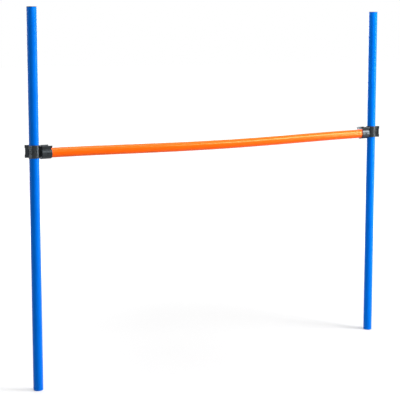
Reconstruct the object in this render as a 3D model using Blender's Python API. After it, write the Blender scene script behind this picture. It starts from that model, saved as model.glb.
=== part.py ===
"""Dog agility hurdle: two posts, a crossbar and the two double snap clips that hold the bar.

Units are metres, +Z is up and +X runs along the crossbar from the left post to the right one.
The origin lies on the floor, midway between the posts.
"""

import math

import bmesh
import bpy
import numpy as np
from mathutils import Matrix, Vector

# Tubes
POST_LENGTH = 1.150        # from the floor to the top of the top plug
POST_DIAMETER = 0.030
POST_WALL = 0.0015
BAR_LENGTH = 1.230         # over both end plugs
BAR_DIAMETER = 0.030
BAR_WALL = 0.0015
BAR_HEIGHT = 0.7195        # the bar's axis over the floor, at the clips
BAR_SAG = 0.007            # how far the middle of the bar hangs below its ends

# Plugs and feet
PLUG_RIM = 0.0012          # thickness of the rim that covers the tube's end
PLUG_RIM_ROUND = 0.0006
PLUG_DEPTH = 0.016         # how far a plug reaches into its tube
PLUG_WALL = 0.0016
PLUG_BARBS = 2
PLUG_BARB_PROUD = 0.0005
FOOT_HEIGHT = 0.0065       # the part of a foot that shows below its tube
FOOT_ROUND = 0.0022
FOOT_DEPTH = 0.020

# Double snap clip
CLIP_WALL = 0.0022
CLIP_EDGE_ROUND = 0.0005
POST_RING_HEIGHT = 0.0385
BAR_RING_LENGTH = 0.0315
BAR_RING_DROP = 0.0065     # the bar's axis below the middle of the post ring
RING_GAP = 0.0023          # clear width between the two rings, which the web bridges
WEB_WIDTH = 0.014
WEB_SETBACK = 0.0035       # how far the web's ends stay short of the post ring's
END_WALL = 0.0020          # stop for the end of the bar
END_WALL_RECESS = 0.0005
RING_WRAP = 128.0          # degrees that each half of a ring goes round its tube
LIP_SPLAY = 26.0           # degrees by which each lip leans out from the mouth's middle line
LIP_BEND_RADIUS = 0.0030
LIP_LENGTH = 0.0100        # the straight part of a lip
LIP_NECK_RADIUS = 0.0042
LIP_NECK_DEPTH = 0.0024
SCOOP_RADIUS = 0.0085      # round thumb recess in the outside of each lip
SCOOP_DEPTH = 0.0007
DIMPLE_RADIUS = 0.0024
DIMPLE_DEPTH = 0.0010

# Clearances
SNAP_CLEARANCE = 0.0003    # between a tube and the ring round it, on the radius
SEAT_CLEARANCE = 0.0003    # between pieces that lie against each other

# Facets
TUBE_SIDES = 40
BAR_STATIONS = 14
RING_STEP = 9.0            # degrees
BEND_STEPS = 3
TIP_STEPS = 4
ROUND_STEPS = 2
EDGE_STEPS = 1

# Sizes that follow from the ones above
POST_RADIUS = POST_DIAMETER / 2
BAR_RADIUS = BAR_DIAMETER / 2
POST_RING_MID = POST_RADIUS + SNAP_CLEARANCE + CLIP_WALL / 2
BAR_RING_MID = BAR_RADIUS + SNAP_CLEARANCE + CLIP_WALL / 2
POST_RING_OUTER = POST_RING_MID + CLIP_WALL / 2
BAR_RING_OUTER = BAR_RING_MID + CLIP_WALL / 2
BAR_RING_START = POST_RING_OUTER + RING_GAP
BAR_STOP = BAR_RING_START + END_WALL_RECESS + END_WALL
BAR_RING_END = BAR_RING_START + BAR_RING_LENGTH
POST_SPACING = BAR_LENGTH + 2 * (BAR_STOP + SEAT_CLEARANCE)
POST_X = POST_SPACING / 2

BLUE = (0.003, 0.095, 0.50)
ORANGE = (0.95, 0.19, 0.004)
BLACK = (0.022, 0.022, 0.024)


def clear_scene():
    """Remove every object that is in the scene."""
    for obj in list(bpy.data.objects):
        bpy.data.objects.remove(obj, do_unlink=True)


def plastic(name, colour, roughness):
    """A moulded or extruded plastic."""
    material = bpy.data.materials.new(name)
    material.use_nodes = True
    shader = material.node_tree.nodes["Principled BSDF"]
    shader.inputs["Base Color"].default_value = (*colour, 1.0)
    shader.inputs["Roughness"].default_value = roughness
    shader.inputs["Metallic"].default_value = 0.0
    material.diffuse_color = (*colour, 1.0)
    return material


def mesh_from(points, faces, name):
    """A mesh with consistent outward normals from points and faces."""
    mesh = bpy.data.meshes.new(name)
    mesh.from_pydata([tuple(map(float, p)) for p in points], [], faces)
    work = bmesh.new()
    work.from_mesh(mesh)
    bmesh.ops.recalc_face_normals(work, faces=work.faces)
    work.to_mesh(mesh)
    work.free()
    return mesh


def smooth(mesh):
    """Shade smooth, with the edges over 35 degrees kept sharp."""
    mesh.shade_smooth()
    mesh.set_sharp_from_angle(angle=math.radians(35))


def add_object(name, mesh, material, location=(0, 0, 0), parent=None, turn=0.0):
    """An object in the scene, placed under its parent by its own location and turn about Z."""
    obj = bpy.data.objects.new(name, mesh)
    bpy.context.scene.collection.objects.link(obj)
    if not mesh.materials:
        mesh.materials.append(material)
    obj.parent = parent
    obj.location = location
    obj.rotation_euler = (0, 0, turn)
    return obj


def revolve(profile, name, sides=TUBE_SIDES):
    """Turn a closed profile of (radius, height) points about Z. A radius of 0 makes a pole."""
    points = []
    rows = []
    for radius, height in profile:
        if radius == 0:
            rows.append([len(points)] * sides)
            points.append((0, 0, height))
            continue
        rows.append([len(points) + k for k in range(sides)])
        for k in range(sides):
            angle = 2 * math.pi * k / sides
            points.append((radius * math.cos(angle), radius * math.sin(angle), height))
    faces = []
    for i, row in enumerate(rows):
        after = rows[(i + 1) % len(rows)]
        for k in range(sides):
            n = (k + 1) % sides
            corners = [row[k], row[n], after[n], after[k]]
            face = list(dict.fromkeys(corners))
            if len(face) > 2:
                faces.append(face)
    return mesh_from(points, faces, name)


def quarter(centre, radius, start, steps):
    """Points on a quarter circle that runs counter-clockwise from the angle start, in degrees."""
    angles = [math.radians(start + 90 * k / steps) for k in range(steps + 1)]
    return [(centre[0] + radius * math.cos(a), centre[1] + radius * math.sin(a)) for a in angles]


def straight_tube(length, radius, wall, name):
    """An open tube that stands on z = 0."""
    profile = [(radius, 0), (radius, length), (radius - wall, length), (radius - wall, 0)]
    mesh = revolve(profile, name)
    smooth(mesh)
    return mesh


def plug(radius, wall, name):
    """An insert plug with its rim on top, down into a tube whose end is at z = 0.

    The rim lies over the tube's end. Below it the skirt has a row of barbs and an open hollow.
    """
    seat = SEAT_CLEARANCE
    skirt = radius - wall - SEAT_CLEARANCE - PLUG_BARB_PROUD
    top = seat + PLUG_RIM
    pitch = PLUG_DEPTH / (PLUG_BARBS + 1)
    profile = [(0, top)]
    corner = (radius - PLUG_RIM_ROUND, top - PLUG_RIM_ROUND)
    profile += quarter(corner, PLUG_RIM_ROUND, 0, ROUND_STEPS)[::-1]
    profile += [(radius, seat), (skirt, seat)]
    for k in range(PLUG_BARBS):
        step = -pitch * (k + 1)
        profile += [(skirt, step), (skirt + PLUG_BARB_PROUD, step)]
    hollow = skirt - PLUG_WALL
    profile += [(skirt - PLUG_WALL / 2, -PLUG_DEPTH), (hollow, -PLUG_DEPTH), (hollow, seat), (0, seat)]
    mesh = revolve(profile, name)
    smooth(mesh)
    return mesh


def foot(radius, wall, name):
    """A foot cap that stands on z = 0 with a rounded bottom edge, its skirt up inside the tube."""
    seat = FOOT_HEIGHT
    skirt = radius - wall - SEAT_CLEARANCE
    hollow = skirt - PLUG_WALL
    top = seat + FOOT_DEPTH
    floor_thickness = FOOT_HEIGHT / 2
    profile = [(0, 0)]
    profile += quarter((radius - FOOT_ROUND, FOOT_ROUND), FOOT_ROUND, -90, 2 * ROUND_STEPS)
    profile += [(radius, seat), (skirt, seat), (skirt, top - PLUG_WALL), (skirt - PLUG_WALL / 2, top)]
    profile += [(hollow, top), (hollow, floor_thickness), (0, floor_thickness)]
    mesh = revolve(profile, name)
    smooth(mesh)
    return mesh


def bar_drop(x):
    """How far the bar's axis hangs below its ends, x metres from the middle.

    The bar is level in both clips. Between them it takes the curve of a beam that is held level at
    both ends: 16 u^2 (1 - u)^2 of the full sag, where u runs from 0 to 1 between the clips.
    """
    span = POST_SPACING - 2 * BAR_RING_END
    u = np.clip(x / span + 0.5, 0.0, 1.0)
    return BAR_SAG * 16 * u ** 2 * (1 - u) ** 2


def bar_stations(length):
    """Where the sections of the bar lie along X: close at the clips, where it is straight."""
    inner = (POST_SPACING - 2 * BAR_RING_END) / 2
    between = np.linspace(-inner, inner, BAR_STATIONS - 1)
    return np.concatenate(([-length / 2], between, [length / 2]))


def bent_tube(name):
    """The crossbar: an open tube round the sagging axis, its ends level on the X axis."""
    length = BAR_LENGTH - 2 * (PLUG_RIM + SEAT_CLEARANCE)
    x = bar_stations(length)
    drop = bar_drop(x)
    step = 1e-4
    slope = (bar_drop(x + step) - bar_drop(x - step)) / (2 * step)
    along = np.stack([np.ones_like(x), np.zeros_like(x), -slope], axis=1)
    along /= np.linalg.norm(along, axis=1)[:, None]
    across = np.array([0.0, 1.0, 0.0])
    up = np.cross(along, across)
    centre = np.stack([x, np.zeros_like(x), -drop], axis=1)
    angle = np.linspace(0, 2 * np.pi, TUBE_SIDES, endpoint=False)
    circle = np.cos(angle)[None, :, None] * across + np.sin(angle)[None, :, None] * up[:, None, :]
    outer = centre[:, None, :] + BAR_RADIUS * circle
    inner = centre[:, None, :] + (BAR_RADIUS - BAR_WALL) * circle
    rows = np.concatenate((outer, inner[::-1]))
    faces = grid_faces(len(rows), TUBE_SIDES)
    mesh = mesh_from(rows.reshape(-1, 3), faces, name)
    smooth(mesh)
    return mesh


def grid_faces(rows, columns):
    """Quads over a grid that closes both ways, like a ring's skin."""
    faces = []
    for i in range(rows):
        for k in range(columns):
            j, n = (i + 1) % rows, (k + 1) % columns
            faces.append((i * columns + k, i * columns + n, j * columns + n, j * columns + k))
    return faces


def lip_path(mid_radius):
    """Half of a snap ring's middle line, from its back to the start of the lip's round tip.

    The mouth faces +V. The line starts at the ring's back, goes round the tube, bends the other way
    through LIP_BEND_RADIUS and runs straight out, leaning LIP_SPLAY degrees off the mouth's middle.
    Each row is (u, v, normal u, normal v), with the normal on the side away from the tube.
    """
    rows = []
    steps = round(RING_WRAP / RING_STEP)
    for k in range(steps + 1):
        turn = math.radians(RING_WRAP * k / steps)
        normal = (math.sin(turn), -math.cos(turn))
        rows.append((mid_radius * normal[0], mid_radius * normal[1], *normal))
    wrap = math.radians(RING_WRAP)
    end = Vector(rows[-1][:2])
    out = Vector(rows[-1][2:])
    centre = end + out * LIP_BEND_RADIUS
    bend = wrap - math.radians(90 - LIP_SPLAY)
    for k in range(1, BEND_STEPS + 1):
        turn = wrap - bend * k / BEND_STEPS
        normal = Vector((math.sin(turn), -math.cos(turn)))
        point = centre - normal * LIP_BEND_RADIUS
        rows.append((*point, *normal))
    lean = math.radians(LIP_SPLAY)
    direction = Vector((math.sin(lean), math.cos(lean)))
    point = Vector(rows[-1][:2]) + direction * LIP_LENGTH
    rows.append((*point, *rows[-1][2:]))
    return rows


def ring_outline(mid_radius, inset):
    """The closed outline of a snap ring, drawn in from its surface by inset."""
    half = CLIP_WALL / 2 - inset
    path = lip_path(mid_radius)
    right_out = [(u + nu * half, v + nv * half) for u, v, nu, nv in path]
    right_in = [(u - nu * half, v - nv * half) for u, v, nu, nv in path]
    u, v, nu, nv = path[-1]
    tip = []
    for k in range(1, TIP_STEPS):
        turn = math.pi * k / TIP_STEPS
        side, ahead = math.cos(turn), math.sin(turn)
        tip.append((u + half * (side * nu - ahead * nv), v + half * (side * nv + ahead * nu)))
    right = right_out + tip + right_in[::-1]
    left = [(-u, v) for u, v in right[::-1]]
    return right + left[1:-1]


def prism(outlines, name):
    """Skin a stack of outlines, each a (level, list of (u, v) points) with equally many points."""
    count = len(outlines[0][1])
    points = [(u, v, level) for level, outline in outlines for u, v in outline]
    faces = [tuple(range(count))]
    for i in range(len(outlines) - 1):
        for k in range(count):
            n = (k + 1) % count
            low, high = i * count, (i + 1) * count
            faces.append((low + k, low + n, high + n, high + k))
    faces.append(tuple(range((len(outlines) - 1) * count, len(outlines) * count)))
    return mesh_from(points, faces, name)


def rounded_levels(length):
    """Levels and insets of a body of this length, centred on 0, whose end edges are rounded."""
    levels = []
    for k in range(EDGE_STEPS + 1):
        turn = math.radians(90 * k / EDGE_STEPS)
        rise = CLIP_EDGE_ROUND * (1 - math.cos(turn))
        inset = CLIP_EDGE_ROUND * (1 - math.sin(turn))
        levels.append((-length / 2 + rise, inset))
    return levels + [(-level, inset) for level, inset in levels[::-1]]


def snap_ring(mid_radius, length, name):
    """A snap ring about the W axis with its mouth towards +V and all its edges rounded."""
    return prism([(level, ring_outline(mid_radius, inset)) for level, inset in rounded_levels(length)],
                 name)


def frame(u, v, w, origin):
    """The matrix that takes (u, v, w) to three given right-handed directions from an origin."""
    return Matrix((
        (u[0], v[0], w[0], origin[0]),
        (u[1], v[1], w[1], origin[1]),
        (u[2], v[2], w[2], origin[2]),
        (0, 0, 0, 1)))


def post_ring_frame():
    """The post ring: its axis is Z, its mouth faces -X, and its middle is over the bar's axis."""
    return frame((0, 1, 0), (-1, 0, 0), (0, 0, 1), (0, 0, BAR_RING_DROP))


def bar_ring_frame():
    """The bar ring: its axis is X, and its mouth faces up."""
    middle = BAR_RING_START + BAR_RING_LENGTH / 2
    return frame((0, 1, 0), (0, 0, 1), (1, 0, 0), (middle, 0, 0))


def end_wall(name):
    """The wall that stops the bar's end, as wide as the middle line of the bar ring and its lips."""
    right = [(u, v) for u, v, _, _ in lip_path(BAR_RING_MID)]
    left = [(-u, v) for u, v in right[::-1]]
    outline = right + left[:-1]
    start = BAR_RING_START + END_WALL_RECESS
    mesh = prism([(start, outline), (start + END_WALL, outline)], name)
    mesh.transform(frame((0, 1, 0), (0, 0, 1), (1, 0, 0), (0, 0, 0)))
    return mesh


def web(name):
    """The upright web between the rings, from inside the post ring's wall into the end wall.

    Its side towards the post follows the middle of the post ring's wall.
    """
    half_width = WEB_WIDTH / 2
    reach = math.asin(half_width / POST_RING_MID)
    angles = np.linspace(-reach, reach, 7)
    curved = [(POST_RING_MID * math.cos(a), POST_RING_MID * math.sin(a)) for a in angles]
    far = BAR_RING_START + END_WALL_RECESS + END_WALL / 2
    outline = curved + [(far, half_width), (far, -half_width)]
    height = POST_RING_HEIGHT - 2 * WEB_SETBACK
    mesh = prism([(-height / 2, outline), (height / 2, outline)], name)
    mesh.transform(Matrix.Translation((0, 0, BAR_RING_DROP)))
    return mesh


def cylinder(radius, length, name, axis, centre, sides=24):
    """A solid cylinder round a centre, its axis in the given direction."""
    outline = [(radius * math.cos(2 * math.pi * k / sides), radius * math.sin(2 * math.pi * k / sides))
               for k in range(sides)]
    mesh = prism([(-length / 2, outline), (length / 2, outline)], name)
    turn = axis.to_track_quat("Z", "Y").to_matrix().to_4x4()
    mesh.transform(Matrix.Translation(centre) @ turn)
    return mesh


def lip_frames(mid_radius):
    """For each lip of a ring: its outward normal, its direction and the middle of its outside."""
    path = lip_path(mid_radius)
    start, end = Vector(path[-2][:2]), Vector(path[-1][:2])
    normal = Vector(path[-1][2:])
    along = (end - start).normalized()
    middle = (start + end) / 2 + normal * CLIP_WALL / 2
    for side in (1, -1):
        yield (Vector((side * normal.x, normal.y, 0)), Vector((side * along.x, along.y, 0)),
               Vector((side * middle.x, middle.y, 0)))


def ring_cutters(mid_radius, length, placement):
    """Cutters for the thumb scoops, the lips' necks and the side dimples of one ring."""
    across = Vector((0, 0, 1))
    cutters = []
    for normal, along, middle in lip_frames(mid_radius):
        cutters.append(cylinder(SCOOP_RADIUS, 2 * SCOOP_DEPTH, "scoop", normal, middle, sides=32))
        root = middle - along * LIP_LENGTH / 2
        off = length / 2 + LIP_NECK_RADIUS - LIP_NECK_DEPTH
        for end in (1, -1):
            centre = root + across * off * end
            cutters.append(cylinder(LIP_NECK_RADIUS, 4 * CLIP_WALL, "neck", normal, centre))
    outer = mid_radius + CLIP_WALL / 2
    for side in (1, -1):
        centre = Vector((side * outer, 0, 0))
        cutters.append(cylinder(DIMPLE_RADIUS, 2 * DIMPLE_DEPTH, "dimple", Vector((side, 0, 0)), centre,
                                sides=16))
    for cutter in cutters:
        cutter.transform(placement)
    return cutters


def combine(base, others, operation):
    """Join or cut a mesh with others by Boolean modifiers, and return the evaluated mesh."""
    target = bpy.data.objects.new("clip_blank", base)
    bpy.context.scene.collection.objects.link(target)
    helpers = []
    for mesh in others:
        helper = bpy.data.objects.new("clip_helper", mesh)
        bpy.context.scene.collection.objects.link(helper)
        helper.hide_render = True
        helper.display_type = "WIRE"
        modifier = target.modifiers.new("cut", "BOOLEAN")
        modifier.operation = operation
        modifier.solver = "EXACT"
        modifier.object = helper
        helpers.append(helper)
    bpy.context.view_layer.update()
    evaluated = target.evaluated_get(bpy.context.evaluated_depsgraph_get())
    result = bpy.data.meshes.new_from_object(evaluated)
    for obj in [target, *helpers]:
        bpy.data.objects.remove(obj, do_unlink=True)
    return result


def double_clip(name):
    """The double snap clip: a ring round the post and one under the bar, joined by a web.

    Its origin is where the post's axis and the bar's axis meet, with the bar on the +X side.
    """
    post_ring = snap_ring(POST_RING_MID, POST_RING_HEIGHT, "post_ring")
    post_ring.transform(post_ring_frame())
    bar_ring = snap_ring(BAR_RING_MID, BAR_RING_LENGTH, "bar_ring")
    bar_ring.transform(bar_ring_frame())
    blank = combine(post_ring, [web("web"), end_wall("end_wall"), bar_ring], "UNION")
    cutters = ring_cutters(POST_RING_MID, POST_RING_HEIGHT, post_ring_frame())
    cutters += ring_cutters(BAR_RING_MID, BAR_RING_LENGTH, bar_ring_frame())
    mesh = combine(blank, cutters, "DIFFERENCE")
    mesh.name = name
    smooth(mesh)
    return mesh


def build_post(side, x, tube_material, plug_material):
    """One post: the tube, its top plug and its foot, on the floor at x."""
    length = POST_LENGTH - FOOT_HEIGHT - 2 * SEAT_CLEARANCE - PLUG_RIM
    tube_mesh = straight_tube(length, POST_RADIUS, POST_WALL, "post_tube")
    tube_mesh.transform(Matrix.Translation((0, 0, FOOT_HEIGHT + SEAT_CLEARANCE)))
    tube = add_object(f"{side}_post_tube", tube_mesh, tube_material, (x, 0, 0))
    plug_mesh = plug(POST_RADIUS, POST_WALL, "post_plug")
    top = FOOT_HEIGHT + SEAT_CLEARANCE + length
    add_object(f"{side}_post_top_plug", plug_mesh, plug_material, (0, 0, top), tube)
    foot_mesh = foot(POST_RADIUS, POST_WALL, "post_foot")
    add_object(f"{side}_post_foot_cap", foot_mesh, tube_material, (0, 0, 0), tube)


def build_crossbar(tube_material, plug_material):
    """The crossbar with a plug in each end, its origin on the axis that it turns about."""
    tube = add_object("crossbar_tube", bent_tube("crossbar"), tube_material, (0, 0, BAR_HEIGHT))
    end = BAR_LENGTH / 2 - PLUG_RIM - SEAT_CLEARANCE
    for side, name, axis in ((-1, "crossbar_left_plug", (-1, 0, 0)), (1, "crossbar_right_plug", (1, 0, 0))):
        mesh = plug(BAR_RADIUS, BAR_WALL, name)
        mesh.transform(frame((0, side, 0), (0, 0, 1), axis, (0, 0, 0)))
        add_object(name, mesh, plug_material, (side * end, 0, 0), tube)


def build_clips(material):
    """The two clips, one moulding used twice, the right one turned half round."""
    mesh = double_clip("double_clip")
    add_object("left_clip", mesh, material, (-POST_X, 0, BAR_HEIGHT))
    add_object("right_clip", mesh, material, (POST_X, 0, BAR_HEIGHT), turn=math.pi)


def main():
    """Build the hurdle."""
    clear_scene()
    blue = plastic("blue_plastic", BLUE, 0.25)
    orange = plastic("orange_plastic", ORANGE, 0.25)
    black = plastic("black_plastic", BLACK, 0.4)
    build_post("left", -POST_X, blue, black)
    build_post("right", POST_X, blue, black)
    build_crossbar(orange, black)
    build_clips(black)


main()
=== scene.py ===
"""Dog agility hurdle: the finished surfaces, plastics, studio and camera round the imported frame.

Units are metres, +Z is up, +X runs along the crossbar from the left post to the right one, and the
origin lies on the floor midway between the posts. The frame's solids give the main sizes.
"""

import math

import bmesh
import bpy
import numpy as np
from bpy.props import FloatProperty, FloatVectorProperty, IntProperty, PointerProperty
from bpy.types import Operator, Panel, PropertyGroup
from mathutils import Matrix, Vector


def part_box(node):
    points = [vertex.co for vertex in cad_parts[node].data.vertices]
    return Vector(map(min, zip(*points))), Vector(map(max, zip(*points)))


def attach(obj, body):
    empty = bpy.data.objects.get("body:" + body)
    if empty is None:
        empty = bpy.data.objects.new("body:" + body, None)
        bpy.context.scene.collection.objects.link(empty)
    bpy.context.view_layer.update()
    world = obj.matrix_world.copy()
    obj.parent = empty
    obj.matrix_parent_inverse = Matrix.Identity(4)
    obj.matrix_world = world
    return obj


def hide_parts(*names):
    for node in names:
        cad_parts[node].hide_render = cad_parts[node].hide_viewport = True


bl_info = {
    "name": "Agility hurdle",
    "version": (1, 0, 0),
    "blender": (4, 5, 0),
    "location": "View3D > Sidebar > Hurdle",
    "description": "Builds a dog agility hurdle with snap clips, its plastics and a studio round it",
    "category": "Add Mesh",
}

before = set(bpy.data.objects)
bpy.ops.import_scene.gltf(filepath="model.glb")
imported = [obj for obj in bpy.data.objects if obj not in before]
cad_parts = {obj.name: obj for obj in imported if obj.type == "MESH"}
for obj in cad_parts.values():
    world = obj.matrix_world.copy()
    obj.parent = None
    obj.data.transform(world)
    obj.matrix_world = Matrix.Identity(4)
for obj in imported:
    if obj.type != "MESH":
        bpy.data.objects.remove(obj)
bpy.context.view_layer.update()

MM = 0.001

# Sizes read from the solids

POST_LOW, POST_HIGH = np.array(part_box("right_post_tube"), float)
BAR_LOW, BAR_HIGH = np.array(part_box("crossbar_tube"), float)
PLUG_LOW, PLUG_HIGH = np.array(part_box("right_post_top_plug"), float)
POST_X = (POST_LOW[0] + POST_HIGH[0]) / 2
POSTS = (("left", -POST_X), ("right", POST_X))
POST_RADIUS = (POST_HIGH[1] - POST_LOW[1]) / 2
BAR_RADIUS = (BAR_HIGH[1] - BAR_LOW[1]) / 2
BAR_AXIS = BAR_HIGH[2] - BAR_RADIUS
BAR_SAG = BAR_AXIS - BAR_RADIUS - BAR_LOW[2]
BAR_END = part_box("crossbar_right_plug")[1][0]
CLIP_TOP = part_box("left_clip")[1][2]
FOOT_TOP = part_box("right_post_foot_cap")[1][2]

# Fineness of the meshes

SHARP_ANGLE = math.radians(40)
MERGE_DISTANCE = 1e-7
RING_STEPS = (0.9 * MM, 0.26 * MM, 0.8 * MM, 0.32 * MM)  # back, dimple, side, recess and lip
WIDTH_STEPS = (0.25 * MM, 1.0 * MM)  # as far as the recesses reach, and beyond them
FINE_MARGIN = 0.5 * MM  # how far the fine steps go past a recess along the ring
NOSE_POINTS = 9
EDGE_POINTS = 5
WALL_POINTS = 121
WEB_COLUMNS = 15


class HurdleTubes(PropertyGroup):
    """Sizes of the tubes, plugs and feet that the frame doesn't give."""

    wall: FloatProperty(
        name="Tube wall", description="Wall thickness of posts and bar",
        default=1.5 * MM, unit="LENGTH")
    cut_round: FloatProperty(
        name="Cut edge", description="Rounding of a tube's cut ends",
        default=0.25 * MM, unit="LENGTH")
    rim_round: FloatProperty(
        name="Rim rounding", description="Rounding of the edge of a plug's rim",
        default=0.6 * MM, unit="LENGTH")
    rim_under_round: FloatProperty(
        name="Rim underside", description="Rounding of the rim's edge against the tube",
        default=0.1 * MM, unit="LENGTH")
    dish: FloatProperty(
        name="Dish", description="Depth of the shallow dish in the outside of plugs and feet",
        default=0.35 * MM, unit="LENGTH")
    dish_slope: FloatProperty(
        name="Dish slope", description="Width of the sloping edge of that dish",
        default=0.8 * MM, unit="LENGTH")
    plug_dish: FloatProperty(
        name="Plug dish", description="Radius of a plug's dish, as a share of the plug's radius",
        default=0.72)
    plug_dish_round: FloatProperty(
        name="Plug dish rounding", description="Rounding of both edges of a plug's dish",
        default=1.2 * MM, unit="LENGTH")
    foot_dish: FloatProperty(
        name="Foot dish", description="Radius of a foot's dish, as a share of the foot's radius",
        default=0.62)
    foot_dish_round: FloatProperty(
        name="Foot dish rounding", description="Rounding of both edges of a foot's dish",
        default=1.0 * MM, unit="LENGTH")
    foot_round: FloatProperty(
        name="Foot rounding", description="Rounding of a foot's bottom edge",
        default=2.2 * MM, unit="LENGTH")
    foot_top_round: FloatProperty(
        name="Foot seam", description="Rounding of a foot's edge against its tube",
        default=0.35 * MM, unit="LENGTH")
    seat: FloatProperty(
        name="Seat", description="Gap between a tube and the rim or foot that covers its end",
        default=0.3 * MM, unit="LENGTH")
    skirt_wall: FloatProperty(
        name="Skirt wall", description="Wall of the skirts inside the tubes",
        default=1.6 * MM, unit="LENGTH")
    barb: FloatProperty(
        name="Barb", description="How far a plug's barbs stand proud of its skirt",
        default=0.5 * MM, unit="LENGTH")
    sides: IntProperty(
        name="Sides", description="Facets round a tube",
        default=96, min=12)
    post_stations: IntProperty(
        name="Post stations", description="Sections along the straight tube of a post",
        default=24, min=3)
    bar_stations: IntProperty(
        name="Bar stations", description="Sections along the sagging tube of the bar",
        default=90, min=3)


class HurdleClip(PropertyGroup):
    """Sizes of the double snap clip."""

    wall: FloatProperty(
        name="Wall", description="Wall thickness of the rings and lips",
        default=2.2 * MM, unit="LENGTH")
    clearance: FloatProperty(
        name="Clearance", description="Gap between a tube and the ring round it",
        default=0.3 * MM, unit="LENGTH")
    edge_round: FloatProperty(
        name="Edge rounding", description="Rounding of the moulding's edges",
        default=0.5 * MM, unit="LENGTH")
    wrap: FloatProperty(
        name="Wrap", description="Angle that each half of a ring goes round its tube",
        default=math.radians(128), subtype="ANGLE")
    splay: FloatProperty(
        name="Splay", description="Angle by which a lip leans out",
        default=math.radians(26), subtype="ANGLE")
    bend_radius: FloatProperty(
        name="Lip bend", description="Radius of the bend between a ring and its lip",
        default=3.0 * MM, unit="LENGTH")
    lip_length: FloatProperty(
        name="Lip length", description="Length of the straight part of a lip",
        default=9.85 * MM, unit="LENGTH")
    lip_corner: FloatProperty(
        name="Lip corner", description="Rounding of a lip's corners",
        default=0.9 * MM, unit="LENGTH")
    post_ring_height: FloatProperty(
        name="Post ring height", description="Height of the ring round the post",
        default=38.5 * MM, unit="LENGTH")
    bar_ring_length: FloatProperty(
        name="Bar ring length", description="Length of the ring under the bar",
        default=31.5 * MM, unit="LENGTH")
    ring_gap: FloatProperty(
        name="Gap between the rings", description="Clear width that the web bridges",
        default=2.3 * MM, unit="LENGTH")
    web_width: FloatProperty(
        name="Web width", description="Width of the web between the rings",
        default=14.0 * MM, unit="LENGTH")
    web_setback: FloatProperty(
        name="Web setback", description="How far the web's ends stay short of the post ring's",
        default=3.5 * MM, unit="LENGTH")
    web_fillet: FloatProperty(
        name="Web fillet", description="Fillet between the web and the walls beside it",
        default=0.9 * MM, unit="LENGTH")
    web_corner: FloatProperty(
        name="Web corner", description="Rounding of the web's four long edges",
        default=1.0 * MM, unit="LENGTH")
    web_sink: FloatProperty(
        name="Web sink", description="How far the web's closed ends reach into the walls",
        default=0.5 * MM, unit="LENGTH")
    end_wall: FloatProperty(
        name="End wall", description="Thickness of the wall that stops the bar",
        default=2.0 * MM, unit="LENGTH")
    end_wall_recess: FloatProperty(
        name="End wall recess", description="How far the end wall lies inside the ring's end",
        default=0.5 * MM, unit="LENGTH")
    neck_radius: FloatProperty(
        name="Neck radius", description="Radius of the round bite beside the root of a bar lip",
        default=3.8 * MM, unit="LENGTH")
    neck_depth: FloatProperty(
        name="Neck depth", description="Depth of that bite",
        default=2.1 * MM, unit="LENGTH")
    scoop_radius: FloatProperty(
        name="Thumb scoop", description="Radius of the round recess at a post lip",
        default=7.6 * MM, unit="LENGTH")
    scoop_margin: FloatProperty(
        name="Scoop margin", description="How far the recess stays from the lip's end",
        default=2.0 * MM, unit="LENGTH")
    scoop_depth: FloatProperty(
        name="Scoop depth", description="Depth of that recess",
        default=0.6 * MM, unit="LENGTH")
    groove_width: FloatProperty(
        name="Groove", description="Width of the groove along the inside of the recess's edge",
        default=2.2 * MM, unit="LENGTH")
    groove_depth: FloatProperty(
        name="Groove depth", description="How much deeper the groove is than the recess",
        default=0.9 * MM, unit="LENGTH")
    notch_width: FloatProperty(
        name="Notch", description="Width of the shallow notch in the end of a post lip",
        default=19.0 * MM, unit="LENGTH")
    notch_depth: FloatProperty(
        name="Notch depth", description="Depth of that notch",
        default=1.3 * MM, unit="LENGTH")
    notch_ease: FloatProperty(
        name="Notch ends", description="Width of the slope at each end of that notch",
        default=1.6 * MM, unit="LENGTH")
    dimple_radius: FloatProperty(
        name="Dimple", description="Radius of the small round recess in a ring's side",
        default=2.5 * MM, unit="LENGTH")
    dimple_depth: FloatProperty(
        name="Dimple depth", description="Depth of that recess",
        default=1.5 * MM, unit="LENGTH")
    recess_ease: FloatProperty(
        name="Recess edges", description="Width of the slope round all recesses",
        default=0.7 * MM, unit="LENGTH")


class HurdleColours(PropertyGroup):
    """Colours of the plastics."""

    blue: FloatVectorProperty(
        name="Blue", description="Posts and feet", subtype="COLOR", size=3,
        default=(0.0005, 0.145, 0.72), min=0, max=1)
    orange: FloatVectorProperty(
        name="Orange", description="Crossbar", subtype="COLOR", size=3,
        default=(0.94, 0.1, 0.0002), min=0, max=1)
    black: FloatVectorProperty(
        name="Black", description="Clips and plugs", subtype="COLOR", size=3,
        default=(0.004, 0.004, 0.004), min=0, max=1)
    blue_gloss: FloatVectorProperty(
        name="Blue gloss", description="Tint of what the blue plastic reflects", subtype="COLOR",
        size=3, default=(0.05, 0.65, 1.0), min=0, max=1)
    orange_gloss: FloatVectorProperty(
        name="Orange gloss", description="Tint of what the orange plastic reflects",
        subtype="COLOR", size=3, default=(1.0, 1.0, 0.35), min=0, max=1)
    black_gloss: FloatVectorProperty(
        name="Black gloss", description="Tint of what the black plastic reflects",
        subtype="COLOR", size=3, default=(0.8, 0.92, 1.0), min=0, max=1)


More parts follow.
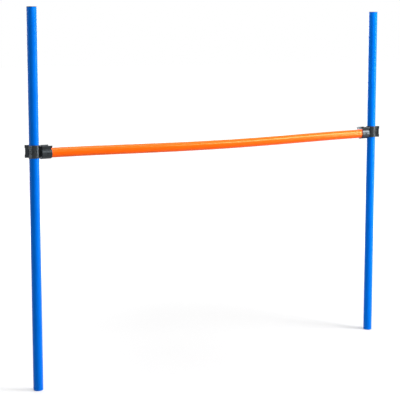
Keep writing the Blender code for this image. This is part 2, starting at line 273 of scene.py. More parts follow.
class HurdleStudio(PropertyGroup):
    """Camera and light levels."""

    lens: FloatProperty(
        name="Lens", description="Focal length in millimetres, on a sensor 36 mm wide",
        default=90.71)
    shift: FloatProperty(
        name="Shift", description="Vertical shift of the lens, as a share of the frame",
        default=-0.13)
    heading: FloatProperty(
        name="Heading", description="Direction of view, turned from +Y towards +X",
        default=math.radians(30.21), subtype="ANGLE")
    pitch: FloatProperty(
        name="Pitch", description="How far the camera looks down",
        default=math.radians(6.29), subtype="ANGLE")
    station: FloatVectorProperty(
        name="Station", description="Place of the camera", subtype="TRANSLATION", size=3,
        default=(-1.701, -2.799, 1.062))
    post_power: FloatProperty(
        name="Post light", description="Power of the tall narrow softbox on the right, in watts",
        default=50.0)
    bar_power: FloatProperty(
        name="Bar light", description="Power of the raised softbox on the right, in watts",
        default=130.0)
    front_power: FloatProperty(
        name="Front light", description="Power of the broad softbox in front, in watts",
        default=71.0)
    left_power: FloatProperty(
        name="Left light", description="Power of the broad softbox on the left, in watts",
        default=19.0)
    top_power: FloatProperty(
        name="Top light", description="Power of the broad softbox over the hurdle, in watts",
        default=60.0)
    back_power: FloatProperty(
        name="Back light", description="Power of the broad low softbox behind, in watts",
        default=80.0)
    world_level: FloatProperty(
        name="Surround", description="Strength of the light from all round", default=0.15)
    floor_glow: FloatProperty(
        name="Floor", description="How much of the floor's white near the hurdle needs no light",
        default=0.31)


# Meshes

def lattice(rows, columns, close_rows=False):
    """Corner numbers of the quads over a grid of points, whose columns always close.

    Point (i, k) has the number i * columns + k. Closed rows join the last row to the first one.
    """
    i, k = np.meshgrid(np.arange(rows if close_rows else rows - 1), np.arange(columns), indexing="ij")
    j, n = (i + 1) % rows, (k + 1) % columns
    corners = np.stack((i * columns + k, j * columns + k, j * columns + n, i * columns + n), -1)
    return corners.reshape(-1, 4)


def placed(points, matrix):
    """Points under a 4 x 4 matrix."""
    m = np.array(matrix)
    return points.reshape(-1, 3) @ m[:3, :3].T + m[:3, 3]


def directions(u, v, w, origin):
    """The matrix that takes (u, v, w) to three given right-handed directions from an origin."""
    columns = np.stack((u, v, w, origin), axis=1)
    return np.vstack((columns, (0, 0, 0, 1)))


def solid_object(name, shells, **attributes):
    """A finished object made of closed shells, each (points, groups of faces).

    Points that fall together, as at a pole or at a lip's edge, are merged, all faces are turned
    outwards, and steep edges stay sharp. An attribute has a value or a vector for each point.
    """
    points = np.concatenate([shell.reshape(-1, 3) for shell, _ in shells])
    firsts = np.cumsum([0] + [shell.size // 3 for shell, _ in shells])
    faces = []
    for first, (_, groups) in zip(firsts, shells):
        for group in groups:
            faces += (np.asarray(group) + first).tolist()
    mesh = bpy.data.meshes.new(name)
    mesh.from_pydata(points, [], faces)
    for key, values in attributes.items():
        vector = values.ndim > 1
        layer = mesh.attributes.new(key, "FLOAT_VECTOR" if vector else "FLOAT", "POINT")
        layer.data.foreach_set("vector" if vector else "value", values.astype(np.float32).ravel())
    work = bmesh.new()
    work.from_mesh(mesh)
    bmesh.ops.remove_doubles(work, verts=work.verts, dist=MERGE_DISTANCE)
    bmesh.ops.recalc_face_normals(work, faces=work.faces)
    work.to_mesh(mesh)
    work.free()
    mesh.shade_smooth()
    mesh.set_sharp_from_angle(angle=SHARP_ANGLE)
    obj = bpy.data.objects.new(name, mesh)
    bpy.context.scene.collection.objects.link(obj)
    return obj


def dress(obj, material, body, node):
    """Give a piece its material and body, and let it stand for its solid."""
    obj.data.materials.append(material)
    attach(obj, body)
    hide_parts(node)


# Profiles

def softened(corners, radii, steps=5):
    """A closed profile with arcs in place of those corners whose radius isn't 0.

    An arc touches both sides of its corner. Its points are start and end seen from its centre,
    weighted by sin((1 - t) turn) and sin(t turn) over sin(turn), for t from 0 to 1.
    """
    corners = np.asarray(corners, float)
    t = np.linspace(0, 1, steps + 1)[:, None]
    pieces = []
    for k, radius in enumerate(radii):
        corner = corners[k]
        if radius == 0:
            pieces.append(corner[None, :])
            continue
        before = corners[k - 1] - corner
        after = corners[(k + 1) % len(corners)] - corner
        before /= np.linalg.norm(before)
        after /= np.linalg.norm(after)
        half = math.acos(np.clip(before @ after, -1, 1)) / 2
        middle = (before + after) / np.linalg.norm(before + after)
        centre = corner + middle * radius / math.sin(half)
        start = corner + before * radius / math.tan(half) - centre
        end = corner + after * radius / math.tan(half) - centre
        turn = math.pi - 2 * half
        arc = (np.sin((1 - t) * turn) * start + np.sin(t * turn) * end) / math.sin(turn)
        pieces.append(centre + arc)
    return np.concatenate(pieces)


def turned(profile, sides, matrix):
    """Turn a profile of (radius, height) points about Z, and place it.

    The point (r, h) at the angle a goes to (r cos a, r sin a, h). A profile that starts and ends at
    radius 0 makes a body with two poles, and any other is closed like the section of a ring.
    """
    radius, height = np.asarray(profile, float).T[:, :, None]
    angle = np.linspace(0, 2 * np.pi, sides, endpoint=False)
    points = np.stack((radius * np.cos(angle), radius * np.sin(angle), height + 0 * angle), -1)
    return placed(points, matrix), [lattice(len(profile), sides, close_rows=radius[0, 0] > 0)]


def graded(stops, steps):
    """Places from the first stop to the last, with a step of its own between each two stops."""
    pieces = []
    for low, high, step in zip(stops[:-1], stops[1:], steps):
        count = max(1, round((high - low) / step))
        pieces.append(np.linspace(low, high, count, endpoint=False))
    return np.concatenate([*pieces, [stops[-1]]])


# Tubes, plugs and feet

def tube_section(length, radius, stations, sizes):
    """The section of a tube's wall as (s, r) points: out along the outside, back along the bore."""
    inner = radius - sizes.wall
    along = np.linspace(0, length, stations)[1:-1]
    outside = np.stack((along, np.full_like(along, radius)), 1)
    bore = np.stack((along[::-1], np.full_like(along, inner)), 1)
    corners = np.concatenate(([(0, radius)], outside, [(length, radius), (length, inner)], bore,
                              [(0, inner)]))
    radii = np.zeros(len(corners))
    radii[[0, stations - 1, stations, -1]] = sizes.cut_round
    return softened(corners, radii, steps=3)


def tube_shell(section, axis, sides):
    """Carry a tube's section round an axis that may bend.

    axis(s) gives a point and two directions across the axis, s metres along it. The section's
    point (s, r) at the angle a goes to point + r (cos a first + sin a second). Also returned is
    each point's place (s, r cos a, r sin a) on the tube before it was bent.
    """
    s, r = section.T
    centre, first, second = axis(s)
    angle = np.linspace(0, 2 * np.pi, sides, endpoint=False)
    cos, sin = np.cos(angle), np.sin(angle)
    across = cos[:, None] * first[:, None, :] + sin[:, None] * second[:, None, :]
    points = centre[:, None, :] + r[:, None, None] * across
    unbent = np.stack(np.broadcast_arrays(s[:, None], r[:, None] * cos, r[:, None] * sin), -1)
    return (points, [lattice(len(s), sides, close_rows=True)]), unbent.reshape(-1, 3)


def post_axis(x, bottom):
    """The straight axis of a post at x, measured up from its tube's lower end."""
    def axis(s):
        zero, one = np.zeros_like(s), np.ones_like(s)
        centre = np.stack((zero + x, zero, s + bottom), -1)
        return centre, np.stack((one, zero, zero), -1), np.stack((zero, one, zero), -1)
    return axis


def bar_axis(start, clip):
    """The crossbar's axis from its left end: level in the clips, with a beam's sag between them.

    The drop is 16 u^2 (1 - u)^2 of the full sag, where u runs from 0 to 1 between the clips. The
    first direction across is +Y, and the second one is square to the axis.
    """
    reach = POST_X - bar_ring_start(clip) - clip.bar_ring_length

    def drop(x):
        u = np.clip(x / (2 * reach) + 0.5, 0, 1)
        return BAR_SAG * 16 * u ** 2 * (1 - u) ** 2

    def axis(s):
        x = start + s
        zero, one = np.zeros_like(s), np.ones_like(s)
        step = 1e-5
        slope = (drop(x + step) - drop(x - step)) / (2 * step)
        up = np.stack((slope, zero, one), -1)
        up /= np.linalg.norm(up, axis=1, keepdims=True)
        return np.stack((x, zero, BAR_AXIS - drop(x)), -1), np.stack((zero, one, zero), -1), up
    return axis


def plug_shell(radius, depth, rim, sizes, matrix):
    """An end plug: a rim with a shallow dish over a barbed skirt, open below.

    Its top is at height 0 and its skirt reaches down to -depth. Two barbs part the skirt in three.
    """
    skirt = radius - sizes.wall - sizes.seat - sizes.barb
    hollow = skirt - sizes.skirt_wall
    under = -rim
    first, second = under + (depth + under) * np.array((-1, -2)) / 3
    dish = radius * sizes.plug_dish
    corners = [
        (0, -sizes.dish), (dish - sizes.dish_slope, -sizes.dish), (dish, 0), (radius, 0),
        (radius, under), (skirt, under), (skirt, first), (skirt + sizes.barb, first),
        (skirt, second), (skirt + sizes.barb, second), (skirt - sizes.skirt_wall / 2, -depth),
        (hollow, -depth), (hollow, under), (0, under)]
    radii = np.zeros(len(corners))
    radii[1:5] = (sizes.plug_dish_round, sizes.plug_dish_round, sizes.rim_round,
                  sizes.rim_under_round)
    return turned(softened(corners, radii), sizes.sides, matrix)


def foot_shell(radius, height, top, sizes, matrix):
    """A foot cap on z = 0: a rounded bottom edge with a shallow dish, its skirt up in the tube."""
    skirt = radius - sizes.wall - sizes.seat
    hollow = skirt - sizes.skirt_wall
    dish = radius * sizes.foot_dish
    corners = [
        (0, sizes.dish), (dish - sizes.dish_slope, sizes.dish), (dish, 0), (radius, 0),
        (radius, height), (skirt, height), (skirt, top - sizes.skirt_wall),
        (skirt - sizes.skirt_wall / 2, top), (hollow, top), (hollow, height / 2), (0, height / 2)]
    radii = np.zeros(len(corners))
    radii[1:5] = (sizes.foot_dish_round, sizes.foot_dish_round, sizes.foot_round,
                  sizes.foot_top_round)
    return turned(softened(corners, radii, steps=8), sizes.sides, matrix)


# Double snap clip

def ring_mid(tube_radius, clip):
    """The radius of a ring's middle line."""
    return tube_radius + clip.clearance + clip.wall / 2


def bar_ring_start(clip):
    """How far the bar ring starts from the post's axis."""
    return ring_mid(POST_RADIUS, clip) + clip.wall / 2 + clip.ring_gap


def lip_root(mid, clip):
    """How far along the middle line, from the ring's back, the straight lip starts."""
    bend = clip.wrap + clip.splay - math.pi / 2
    return mid * clip.wrap + clip.bend_radius * bend


def snap_line(s, mid, clip):
    """Points and outward normals of a snap ring's middle line, s metres from the ring's back.

    The mouth faces +v. The line is an arc round the tube, a bend the other way, whose centre lies
    outside, and the straight lip. Where s is below 0 it is the mirror image.
    """
    side = np.where(s < 0, -1.0, 1.0)
    along = np.abs(s)
    arc_end = mid * clip.wrap
    root = lip_root(mid, clip)
    bend = clip.wrap - (np.minimum(along, root) - arc_end) / clip.bend_radius
    turn = np.where(along < arc_end, along / mid, bend)
    normal = np.stack((np.sin(turn), -np.cos(turn)), -1)
    out = np.array((math.sin(clip.wrap), -math.cos(clip.wrap)))
    lean = np.array((math.sin(clip.splay), math.cos(clip.splay)))
    on_lip = (mid + clip.bend_radius) * out - clip.bend_radius * normal
    on_lip += np.maximum(along - root, 0)[..., None] * lean
    point = np.where((along < arc_end)[..., None], mid * normal, on_lip)
    point[..., 0] *= side
    normal[..., 0] *= side
    return point, normal


def ring_places(mid, clip):
    """Where the sections of a snap ring lie along its middle line, close where it has detail.

    The last ones follow the round nose of the lip: s = nose + half wall * sin(a).
    """
    side = mid * math.pi / 2
    dimple = clip.dimple_radius + FINE_MARGIN
    nose = lip_root(mid, clip) + clip.lip_length
    scoop = nose - clip.scoop_margin - 2 * clip.scoop_radius - FINE_MARGIN
    half = graded((0, side - dimple, side + dimple, scoop, nose), RING_STEPS)
    turn = np.linspace(0, np.pi / 2, NOSE_POINTS)[1:]
    half = np.concatenate((half, nose + clip.wall / 2 * np.sin(turn)))
    return np.concatenate((-half[:0:-1], half))


def soft_step(x):
    """0 below x = 0, 1 above x = 1, and 3 x^2 - 2 x^3 between."""
    x = np.clip(x, 0, 1)
    return x * x * (3 - 2 * x)


def ring_section(half_length, fine, clip):
    """The section of a ring as (n, w) values: a rectangle with rounded corners.

    n goes from -1 inside to 1 outside, and w runs along the ring's axis, close together as far as
    fine from its middle. The outside and the inside have the same places along w, so that they
    meet where a lip's nose closes.
    """
    flat = half_length - clip.edge_round
    half = graded((0, fine, flat), WIDTH_STEPS)
    across = np.concatenate((-half[:0:-1], half))
    edge = clip.edge_round / (clip.wall / 2)
    turn = np.linspace(0, np.pi / 2, EDGE_POINTS)[1:]
    corner_n = 1 - edge + edge * np.cos(turn)
    corner_w = flat + clip.edge_round * np.sin(turn)
    end_n = np.concatenate((corner_n, -corner_n[::-1]))
    end_w = np.concatenate((corner_w, corner_w[::-1]))
    one = np.ones_like(across)
    return (np.concatenate((one, end_n, -one, -end_n)),
            np.concatenate((across, end_w, across[::-1], -end_w)))


def half_width(s, half_length, neck, mid, clip):
    """Half of a ring's length at s: less at the round bites by a lip's root and at its corners.

    A bite is sqrt(r^2 - x^2) - (r - neck) deep at x from the root, with its two edges eased.
    """
    along = np.abs(s)
    off_root = along - lip_root(mid, clip)
    circle = np.sqrt(np.maximum(clip.neck_radius ** 2 - off_root ** 2, 0))
    bite = circle - (clip.neck_radius - neck)
    ease = neck / 6
    bite = (bite + np.sqrt(bite ** 2 + ease ** 2)) / 2
    past = np.maximum(along - (np.max(along) - clip.lip_corner), 0)
    corner = clip.lip_corner - np.sqrt(np.maximum(clip.lip_corner ** 2 - past ** 2, 0))
    return half_length - bite - corner


def recess(distance, radius, depth, clip):
    """How deep a round recess is at a distance from its middle: full inside, with a soft edge."""
    return depth * soft_step((radius - distance) / clip.recess_ease + 0.5)


def ring_shell(mid, length, neck, notch, scoop, clip, matrix):
    """A snap ring about w, with its mouth towards +v, and how much of an edge each point is.

    The section is carried along the middle line: point(s) + normal(s) n thickness(s), with w
    scaled to the width at s. Thickness falls to 0 along the round nose of each lip. On the outside
    the thumb scoops, with a groove inside their edge, and the dimples are taken off. A lip's end
    has a shallow notch: there s shrinks towards the root, by the notch's depth at the end and less
    before it. Neck, notch and scoop are depths, and a ring without a scoop has no groove either.
    """
    s = ring_places(mid, clip)
    detail = clip.dimple_radius if scoop == 0 else max(clip.scoop_radius, clip.notch_width / 2)
    n, w = ring_section(length / 2, detail + 2 * FINE_MARGIN, clip)
    root = lip_root(mid, clip)
    width = half_width(s, length / 2, neck, mid, clip) / (length / 2)
    nose = root + clip.lip_length
    past = np.clip((np.abs(s) - nose) / (clip.wall / 2), 0, 1)
    thinner = np.sqrt(1 - past ** 2)
    along, across = np.abs(s)[:, None], w * width[:, None]
    notched = soft_step((clip.notch_width / 2 - np.abs(across)) / clip.notch_ease + 0.5)
    shorter = notch * notched * np.clip((along - root) / clip.lip_length, 0, 1) ** 2
    point, normal = snap_line(np.sign(s)[:, None] * (along - shorter), mid, clip)
    centre = nose - clip.scoop_margin - clip.scoop_radius
    groove = clip.groove_depth if scoop > 0 else 0
    from_scoop = np.hypot(along - centre, across)
    from_dimple = np.hypot(along - mid * math.pi / 2, across)
    taken = recess(from_scoop, clip.scoop_radius, scoop + groove, clip)
    taken -= recess(from_scoop, clip.scoop_radius - clip.groove_width, groove, clip)
    taken += recess(from_dimple, clip.dimple_radius, clip.dimple_depth, clip)
    offset = thinner[:, None] * (n * clip.wall / 2 - (n > 0.5) * taken)
    flat = point + normal * offset[:, :, None]
    points = np.concatenate((flat, across[:, :, None]), -1)
    rounded = soft_step((np.abs(w) - length / 2) / clip.edge_round + 2)
    edge = np.maximum(rounded, past[:, None])
    return (placed(points, matrix), [lattice(len(s), len(w))]), edge.reshape(-1)


def end_wall_shell(clip):
    """The wall that stops the bar, drawn along the bar's axis, with a rounded top edge.

    Its outline is the middle line of the bar ring and its lips, closed straight across the mouth.
    The top is lower by the rounding's inset at each place along x.
    """
    mid = ring_mid(BAR_RADIUS, clip)
    nose = lip_root(mid, clip) + clip.lip_length
    line, _ = snap_line(np.linspace(-nose, nose, WALL_POINTS), mid, clip)
    turn = np.linspace(0, np.pi / 2, EDGE_POINTS)
    rise = clip.edge_round * (1 - np.cos(turn))
    inset = clip.edge_round * (1 - np.sin(turn))
    start = bar_ring_start(clip) + clip.end_wall_recess
    x = np.concatenate((start + rise, start + clip.end_wall - rise[::-1]))
    inset = np.concatenate((inset, inset[::-1]))
    z = np.minimum(line[:, 1], line[0, 1] - inset[:, None])
    points = np.stack(np.broadcast_arrays(x[:, None], line[:, 0], z), -1)
    rows, columns = z.shape
    first = np.arange(columns)[None, :]
    return points, [lattice(rows, columns), first, first + (rows - 1) * columns]


def web_middle(clip):
    """The height of the post ring's middle over the bar's axis."""
    return CLIP_TOP - BAR_AXIS - clip.post_ring_height / 2


def web_shell(clip):
    """The upright web between the rings, with a fillet where it meets each of them.

    Its section is a rounded rectangle across x. At the distance d from a wall it is larger on all
    sides by f - sqrt(f^2 - (f - d)^2), with f the fillet, and inside the walls it closes to a point.
    On the post's side x is measured from the ring's round wall.
    """
    outer = ring_mid(POST_RADIUS, clip) + clip.wall / 2
    wall = bar_ring_start(clip) + clip.end_wall_recess
    half = np.array((clip.web_width / 2, clip.post_ring_height / 2 - clip.web_setback))
    across = np.linspace(-1, 1, WEB_COLUMNS)[1:-1]
    top = np.stack((across[::-1], np.ones_like(across)), 1)
    corners = np.concatenate(([(1, 1)], top, [(-1, 1), (-1, -1)], -top, [(1, -1)])) * half
    radii = np.zeros(len(corners))
    radii[[0, len(top) + 1, len(top) + 2, -1]] = clip.web_corner
    outline = softened(corners, radii, steps=4)
    fillet = clip.web_fillet
    shrink = np.linspace(0, 1, EDGE_POINTS)
    turn = np.linspace(0, np.pi / 2, EDGE_POINTS + 1)
    away = np.concatenate((np.full(len(shrink), -clip.web_sink), fillet * (1 - np.cos(turn))))
    flare = fillet - np.sqrt(fillet ** 2 - np.maximum(fillet - np.maximum(away, 0), 0) ** 2)
    scale = np.concatenate((shrink, np.ones(len(turn))))
    section = (outline + np.sign(outline) * flare[:, None, None]) * scale[:, None, None]
    section = np.concatenate((section, section[::-1]))
    from_post = np.sqrt(outer ** 2 - section[:len(away), :, 0] ** 2) + away[:, None]
    from_wall = np.broadcast_to((wall - away)[::-1, None], from_post.shape)
    x = np.concatenate((from_post, from_wall))
    points = np.stack((x, section[..., 0], section[..., 1] + web_middle(clip)), -1)
    return points, [lattice(len(x), len(outline))]


def double_clip(name, clip, matrix):
    """The double snap clip, in its own frame: the post's axis is Z and the bar's axis is X."""
    post_frame = directions((0, 1, 0), (-1, 0, 0), (0, 0, 1), (0, 0, web_middle(clip)))
    middle = bar_ring_start(clip) + clip.bar_ring_length / 2
    bar_frame = directions((0, 1, 0), (0, 0, 1), (1, 0, 0), (middle, 0, 0))
    post_ring, post_edge = ring_shell(
        ring_mid(POST_RADIUS, clip), clip.post_ring_height, neck=0, notch=clip.notch_depth,
        scoop=clip.scoop_depth, clip=clip, matrix=post_frame)
    bar_ring, bar_edge = ring_shell(
        ring_mid(BAR_RADIUS, clip), clip.bar_ring_length, neck=clip.neck_depth, notch=0,
        scoop=0, clip=clip, matrix=bar_frame)
    shells = [post_ring, bar_ring, end_wall_shell(clip), web_shell(clip)]
    plain = sum(points.size // 3 for points, _ in shells[2:])
    edge = np.concatenate((post_edge, bar_edge, np.zeros(plain)))
    shells = [(placed(points, matrix), groups) for points, groups in shells]
    return solid_object(name, shells, edge=edge)


# Materials

TUBE_GLOSS = 0.2  # level of the gloss on the extruded tubes
MOULDED_GLOSS = 0.42  # and on the mouldings
NOISE_LOW, NOISE_HIGH = 0.3, 0.7  # the range that most of a noise's values lie in
TINT_SWING = 0.04
ROUGHNESS_SWING = 0.07
DRAW_LINES = (9, 900, 900)  # noise stretched along a tube and fine across it
FLOOR_SHADE = 0.4
FLOOR_MIDDLE = (0.35, 0, 0)  # middle of the part of the floor that the lights reach
GLOW_START, GLOW_END = 0.3, 2.4  # distances from it between which the glow grows to white


def add(tree, kind, sockets=None, **settings):
    """Add a node. A socket takes a value, or a link from another node's output."""
    made = tree.nodes.new(kind)
    for key, value in settings.items():
        setattr(made, key, value)
    for key, value in (sockets or {}).items():
        if isinstance(value, bpy.types.NodeSocket):
            tree.links.new(value, made.inputs[key])
        else:
            made.inputs[key].default_value = value
    return made


def noise(tree, place, scale, detail=2.0, stretch=(1, 1, 1)):
    """A noise over a place, with a stretch of its own in each direction."""
    mapped = add(tree, "ShaderNodeMapping", {"Vector": place, "Scale": stretch})
    made = add(tree, "ShaderNodeTexNoise",
               {"Vector": mapped.outputs["Vector"], "Scale": scale, "Detail": detail})
    return made.outputs["Fac"]


def spread(tree, value, low, high):
    """A noise value taken from its usual range to a range of its own."""
    made = add(tree, "ShaderNodeMapRange", {
        "Value": value, "From Min": NOISE_LOW, "From Max": NOISE_HIGH, "To Min": low, "To Max": high})
    return made.outputs["Result"]


def between(tree, amount, first, second):
    """The colour that is amount of the way from a first tint to a second one.

    On a mix node for colours, the factor is input 0, the colours are 6 and 7, and output 2 is used.
    """
    made = add(tree, "ShaderNodeMix", data_type="RGBA")
    tree.links.new(amount, made.inputs[0])
    made.inputs[6].default_value = (*first, 1)
    made.inputs[7].default_value = (*second, 1)
    return made.outputs[2]


def shaded(colour, share):
    """A colour with its brightness changed by a share."""
    return tuple(min(1.0, channel * (1 + share)) for channel in colour)


def new_plastic(name, level, gloss):
    """A material, its node tree and its main shader, with the level and tint of its gloss."""
    material = bpy.data.materials.new(name)
    material.use_nodes = True
    shader = material.node_tree.nodes["Principled BSDF"]
    shader.inputs["Specular IOR Level"].default_value = level
    shader.inputs["Specular Tint"].default_value = (*gloss, 1)
    return material, material.node_tree, shader


def extruded_plastic(name, colour, gloss):
    """Glossy extruded tube, with fine draw lines along it that vary its gloss, and a slow change in
    tone.

    It reads each point's place on the tube before it was bent, with X along the tube.
    """
    material, tree, shader = new_plastic(name, TUBE_GLOSS, gloss)
    place = add(tree, "ShaderNodeAttribute", attribute_name="unbent").outputs["Vector"]
    lines = noise(tree, place, scale=1.0, detail=3.0, stretch=DRAW_LINES)
    patches = noise(tree, place, scale=12.0, detail=3.0)
    tint = between(tree, spread(tree, patches, low=0, high=1), shaded(colour, -TINT_SWING),
                   shaded(colour, TINT_SWING))
    tree.links.new(tint, shader.inputs["Base Color"])
    tree.links.new(spread(tree, lines, low=0.19, high=0.25), shader.inputs["Roughness"])
    bump = add(tree, "ShaderNodeBump", {"Height": lines, "Strength": 0.2, "Distance": 0.00003})
    tree.links.new(bump.outputs["Normal"], shader.inputs["Normal"])
    return material


def moulded_plastic(name, colour, gloss, roughness, edge_sheen_and_wear):
    """Satin moulded plastic: a fine even grain, patchy gloss, and a painted highlight and wear on its
    edges.

    The "edge" attribute is 1 on rounded edges, and reads as 0 where a piece has none.
    """
    material, tree, shader = new_plastic(name, MOULDED_GLOSS, gloss)
    place = add(tree, "ShaderNodeTexCoord").outputs["Object"]
    grain = noise(tree, place, scale=2600.0, detail=2.0)
    patches = noise(tree, place, scale=90.0, detail=4.0)
    sheen_and_wear_edges = add(tree, "ShaderNodeAttribute", attribute_name="edge").outputs["Fac"]
    sheen_and_wear = add(tree, "ShaderNodeMath", {0: sheen_and_wear_edges, 1: spread(tree, patches, low=0.2, high=1.0)},
               operation="MULTIPLY").outputs[0]
    # Painted highlight with a little wear: rounded edges are painted lighter, in patches, as where they
    # catch the light.
    tree.links.new(between(tree, sheen_and_wear, colour, shaded(colour, edge_sheen_and_wear)), shader.inputs["Base Color"])
    patchy = spread(tree, patches, roughness - ROUGHNESS_SWING, roughness + ROUGHNESS_SWING)
    tree.links.new(patchy, shader.inputs["Roughness"])
    bump = add(tree, "ShaderNodeBump", {"Height": grain, "Strength": 0.3, "Distance": 0.00004})
    tree.links.new(bump.outputs["Normal"], shader.inputs["Normal"])
    return material


def white_rays(tree):
    """1 for the rays that see the white background: camera, glossy and transmission rays."""
    path = add(tree, "ShaderNodeLightPath").outputs
    both = add(tree, "ShaderNodeMath", {0: path["Is Camera Ray"], 1: path["Is Glossy Ray"]},
               operation="ADD").outputs[0]
    return add(tree, "ShaderNodeMath", {0: both, 1: path["Is Transmission Ray"]},
               operation="ADD", use_clamp=True).outputs[0]


def floor_paint(glow):
    """Pale floor that keeps shadows: part of its white is lit, part shows to the white rays only.

    The second part grows from glow near the hurdle to full white, where the lights don't reach.
    """
    material = bpy.data.materials.new("studio_floor")
    material.use_nodes = True
    tree = material.node_tree
    tree.nodes.clear()
    lit = add(tree, "ShaderNodeBsdfDiffuse", {"Color": (FLOOR_SHADE, FLOOR_SHADE, FLOOR_SHADE, 1)})
    place = add(tree, "ShaderNodeTexCoord").outputs["Object"]
    away = add(tree, "ShaderNodeVectorMath", {0: place, 1: FLOOR_MIDDLE}, operation="DISTANCE")
    rise = add(tree, "ShaderNodeMapRange", {
        "Value": away.outputs["Value"], "From Min": GLOW_START, "From Max": GLOW_END,
        "To Min": glow, "To Max": 1.0}, interpolation_type="SMOOTHSTEP")
    level = add(tree, "ShaderNodeMath", {0: white_rays(tree), 1: rise.outputs["Result"]},
                operation="MULTIPLY")
    glowing = add(tree, "ShaderNodeEmission", {"Color": (1, 1, 1, 1), "Strength": level.outputs[0]})
    both = add(tree, "ShaderNodeAddShader", {0: lit.outputs[0], 1: glowing.outputs[0]})
    add(tree, "ShaderNodeOutputMaterial", {"Surface": both.outputs[0]})
    return material


# Studio

FLOOR_REACH = 30.0
VIEW_REACH = 100.0


def add_floor(studio):
    """A flat floor far larger than the view."""
    mesh = bpy.data.meshes.new("studio_floor")
    corners = np.array([(-1, -1, 0), (1, -1, 0), (1, 1, 0), (-1, 1, 0)]) * FLOOR_REACH
    mesh.from_pydata(corners, [], [(0, 1, 2, 3)])
    mesh.materials.append(floor_paint(studio.floor_glow))
    obj = bpy.data.objects.new("studio_floor", mesh)
    bpy.context.scene.collection.objects.link(obj)


def add_world(level):
    """White for the rays that see it, and a soft even light for the rest."""
    world = bpy.data.worlds.new("studio_surround")
    world.use_nodes = True
    tree = world.node_tree
    tree.nodes.clear()
    seen = add(tree, "ShaderNodeBackground", {"Color": (1, 1, 1, 1), "Strength": 1.0})
    lights = add(tree, "ShaderNodeBackground", {"Color": (1, 1, 1, 1), "Strength": level})
    both = add(tree, "ShaderNodeMixShader",
               {0: white_rays(tree), 1: lights.outputs[0], 2: seen.outputs[0]})
    add(tree, "ShaderNodeOutputWorld", {"Surface": both.outputs[0]})
    bpy.context.scene.world = world


def add_softbox(name, place, target, size, power):
    """A rectangular light that faces a target, upright, and that the camera doesn't see itself."""
    data = bpy.data.lights.new(name, "AREA")
    data.shape = "RECTANGLE"
    data.size, data.size_y = size
    data.energy = power
    obj = bpy.data.objects.new(name, data)
    obj.visible_camera = False
    bpy.context.scene.collection.objects.link(obj)
    away = Vector(target) - Vector(place)
    obj.matrix_world = Matrix.Translation(place) @ away.to_track_quat("-Z", "Y").to_matrix().to_4x4()


def add_camera(studio):
    """The camera at the photograph's viewing angle, level from side to side."""
    data = bpy.data.cameras.new("studio_camera")
    data.sensor_width = 36.0
    data.lens = studio.lens
    data.shift_y = studio.shift
    data.clip_end = VIEW_REACH
    obj = bpy.data.objects.new("studio_camera", data)
    bpy.context.scene.collection.objects.link(obj)
    turn = Matrix.Rotation(-studio.heading, 4, "Z") @ Matrix.Rotation(math.pi / 2 - studio.pitch, 4, "X")
    obj.matrix_world = Matrix.Translation(studio.station) @ turn
    bpy.context.scene.camera = obj


# Operators

class HURDLE_OT_posts(Operator):
    """Make the two blue post tubes"""

    bl_idname = "hurdle.posts"
    bl_label = "Post tubes"

    def execute(self, context):
        sizes, colours = context.scene.hurdle_tubes, context.scene.hurdle_colours
        material = extruded_plastic("blue_extrusion", colours.blue, colours.blue_gloss)
        length = POST_HIGH[2] - POST_LOW[2]
        section = tube_section(length, POST_RADIUS, sizes.post_stations, sizes)
        for side, x in POSTS:
            shell, unbent = tube_shell(section, post_axis(x, POST_LOW[2]), sizes.sides)
            post = solid_object(f"{side}_post_pipe", [shell], unbent=unbent)
            dress(post, material, f"{side}_post", f"{side}_post_tube")
        return {"FINISHED"}


class HURDLE_OT_crossbar(Operator):
    """Make the orange crossbar with its slight sag"""

    bl_idname = "hurdle.crossbar"
    bl_label = "Crossbar"

    def execute(self, context):
        sizes, colours = context.scene.hurdle_tubes, context.scene.hurdle_colours
        material = extruded_plastic("orange_extrusion", colours.orange, colours.orange_gloss)
        section = tube_section(BAR_HIGH[0] - BAR_LOW[0], BAR_RADIUS, sizes.bar_stations, sizes)
        axis = bar_axis(BAR_LOW[0], context.scene.hurdle_clip)
        shell, unbent = tube_shell(section, axis, sizes.sides)
        bar = solid_object("crossbar_pipe", [shell], unbent=unbent)
        dress(bar, material, "crossbar", "crossbar_tube")
        return {"FINISHED"}


class HURDLE_OT_plugs(Operator):
    """Make the black plugs in the tops of the posts and the ends of the crossbar"""

    bl_idname = "hurdle.plugs"
    bl_label = "End plugs"

    def execute(self, context):
        sizes, colours = context.scene.hurdle_tubes, context.scene.hurdle_colours
        # Its rounded edges are painted up to three times lighter: a painted highlight with a little
        # wear.
        material = moulded_plastic("black_plug", colours.black, colours.black_gloss,
                                   roughness=0.34, edge_sheen_and_wear=2.0)
        rim = PLUG_HIGH[2] - POST_HIGH[2] - sizes.seat
        depth = PLUG_HIGH[2] - PLUG_LOW[2]
        for side, x in POSTS:
            top = Matrix.Translation((x, 0, PLUG_HIGH[2]))
            shell = plug_shell(POST_RADIUS, depth, rim, sizes, top)
            plug = solid_object(f"{side}_post_end_plug", [shell])
            dress(plug, material, f"{side}_post", f"{side}_post_top_plug")
        for side, sign in (("left", -1), ("right", 1)):
            end = directions((0, sign, 0), (0, 0, 1), (sign, 0, 0), (sign * BAR_END, 0, BAR_AXIS))
            shell = plug_shell(BAR_RADIUS, depth, rim, sizes, end)
            plug = solid_object(f"crossbar_{side}_end_plug", [shell])
            dress(plug, material, "crossbar", f"crossbar_{side}_plug")
        return {"FINISHED"}


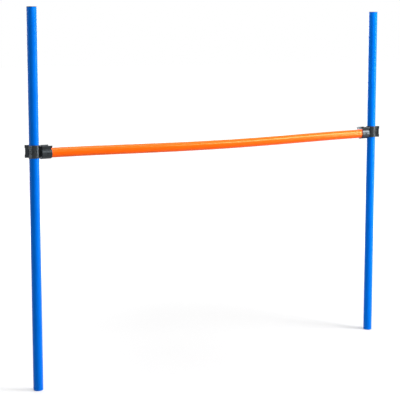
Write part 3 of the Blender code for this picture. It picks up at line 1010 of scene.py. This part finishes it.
class HURDLE_OT_feet(Operator):
    """Make the blue foot caps of the posts"""

    bl_idname = "hurdle.feet"
    bl_label = "Foot caps"

    def execute(self, context):
        sizes, colours = context.scene.hurdle_tubes, context.scene.hurdle_colours
        # Its rounded edges are painted up to a tenth lighter: a painted highlight with a little wear.
        material = moulded_plastic("blue_foot", colours.blue, colours.blue_gloss,
                                   roughness=0.34, edge_sheen_and_wear=0.1)
        height = POST_LOW[2] - sizes.seat
        for side, x in POSTS:
            place = Matrix.Translation((x, 0, 0))
            shell = foot_shell(POST_RADIUS, height, FOOT_TOP, sizes, place)
            foot = solid_object(f"{side}_post_foot", [shell])
            dress(foot, material, f"{side}_post", f"{side}_post_foot_cap")
        return {"FINISHED"}


class HURDLE_OT_clips(Operator):
    """Make the two black double snap clips"""

    bl_idname = "hurdle.clips"
    bl_label = "Snap clips"

    def execute(self, context):
        clip, colours = context.scene.hurdle_clip, context.scene.hurdle_colours
        # Its rounded edges are painted up to five times lighter: a painted highlight with a little wear.
        material = moulded_plastic("black_clip", colours.black, colours.black_gloss,
                                   roughness=0.33, edge_sheen_and_wear=4.0)
        for side, sign in (("left", 1), ("right", -1)):
            place = directions((sign, 0, 0), (0, sign, 0), (0, 0, 1), (-sign * POST_X, 0, BAR_AXIS))
            piece = double_clip(f"{side}_double_clip", clip, place)
            dress(piece, material, f"{side}_clip", f"{side}_clip")
        return {"FINISHED"}


class HURDLE_OT_studio(Operator):
    """Set up the pale floor, the soft lights and the camera"""

    bl_idname = "hurdle.studio"
    bl_label = "Studio"

    def execute(self, context):
        studio = context.scene.hurdle_studio
        context.scene.view_settings.view_transform = "Standard"
        add_floor(studio)
        add_world(studio.world_level)
        add_softbox("post_softbox", (2.45, -2.15, 0.8), (0.0, 0.0, 0.8), (0.5, 1.5), studio.post_power)
        add_softbox("bar_softbox", (2.1, -1.7, 2.5), (0.3, 0.0, 0.72), (1.5, 1.0), studio.bar_power)
        add_softbox("front_softbox", (0.2, -3.6, 2.8), (0.0, 0.0, 0.7), (2.4, 2.4), studio.front_power)
        add_softbox("left_softbox", (-3.4, 0.91, 1.45), (0.0, 0.0, 0.7), (2.4, 2.4), studio.left_power)
        add_softbox("top_softbox", (0.2, 0.2, 3.2), (0.0, 0.0, 0.7), (2.6, 1.2), studio.top_power)
        add_softbox("back_softbox", (0.9, 3.4, 1.0), (0.0, 0.0, 0.8), (3.2, 1.8), studio.back_power)
        add_camera(studio)
        return {"FINISHED"}


class HURDLE_PT_sidebar(Panel):
    """Sizes, colours and pieces of the hurdle"""

    bl_idname = "HURDLE_PT_sidebar"
    bl_label = "Agility hurdle"
    bl_space_type = "VIEW_3D"
    bl_region_type = "UI"
    bl_category = "Hurdle"

    def draw(self, context):
        for operator in PIECES:
            self.layout.operator(operator.bl_idname)
        for key, group in GROUPS.items():
            box = self.layout.box()
            box.label(text=group.__name__)
            for name in group.__annotations__:
                box.prop(getattr(context.scene, key), name)


GROUPS = {
    "hurdle_tubes": HurdleTubes,
    "hurdle_clip": HurdleClip,
    "hurdle_colours": HurdleColours,
    "hurdle_studio": HurdleStudio,
}
PIECES = (HURDLE_OT_studio, HURDLE_OT_posts, HURDLE_OT_crossbar, HURDLE_OT_plugs, HURDLE_OT_feet,
          HURDLE_OT_clips)


def register():
    """Register the classes and put the settings on the scene."""
    for cls in (*GROUPS.values(), *PIECES, HURDLE_PT_sidebar):
        bpy.utils.register_class(cls)
    for key, group in GROUPS.items():
        setattr(bpy.types.Scene, key, PointerProperty(type=group))


def unregister():
    """Take the settings off the scene and unregister the classes."""
    for key in GROUPS:
        delattr(bpy.types.Scene, key)
    for cls in reversed((*GROUPS.values(), *PIECES, HURDLE_PT_sidebar)):
        bpy.utils.unregister_class(cls)


def main():
    """Build the hurdle and its studio."""
    register()
    bpy.ops.hurdle.studio()
    bpy.ops.hurdle.posts()
    bpy.ops.hurdle.crossbar()
    bpy.ops.hurdle.plugs()
    bpy.ops.hurdle.feet()
    bpy.ops.hurdle.clips()


if __name__ == "__main__":
    main()
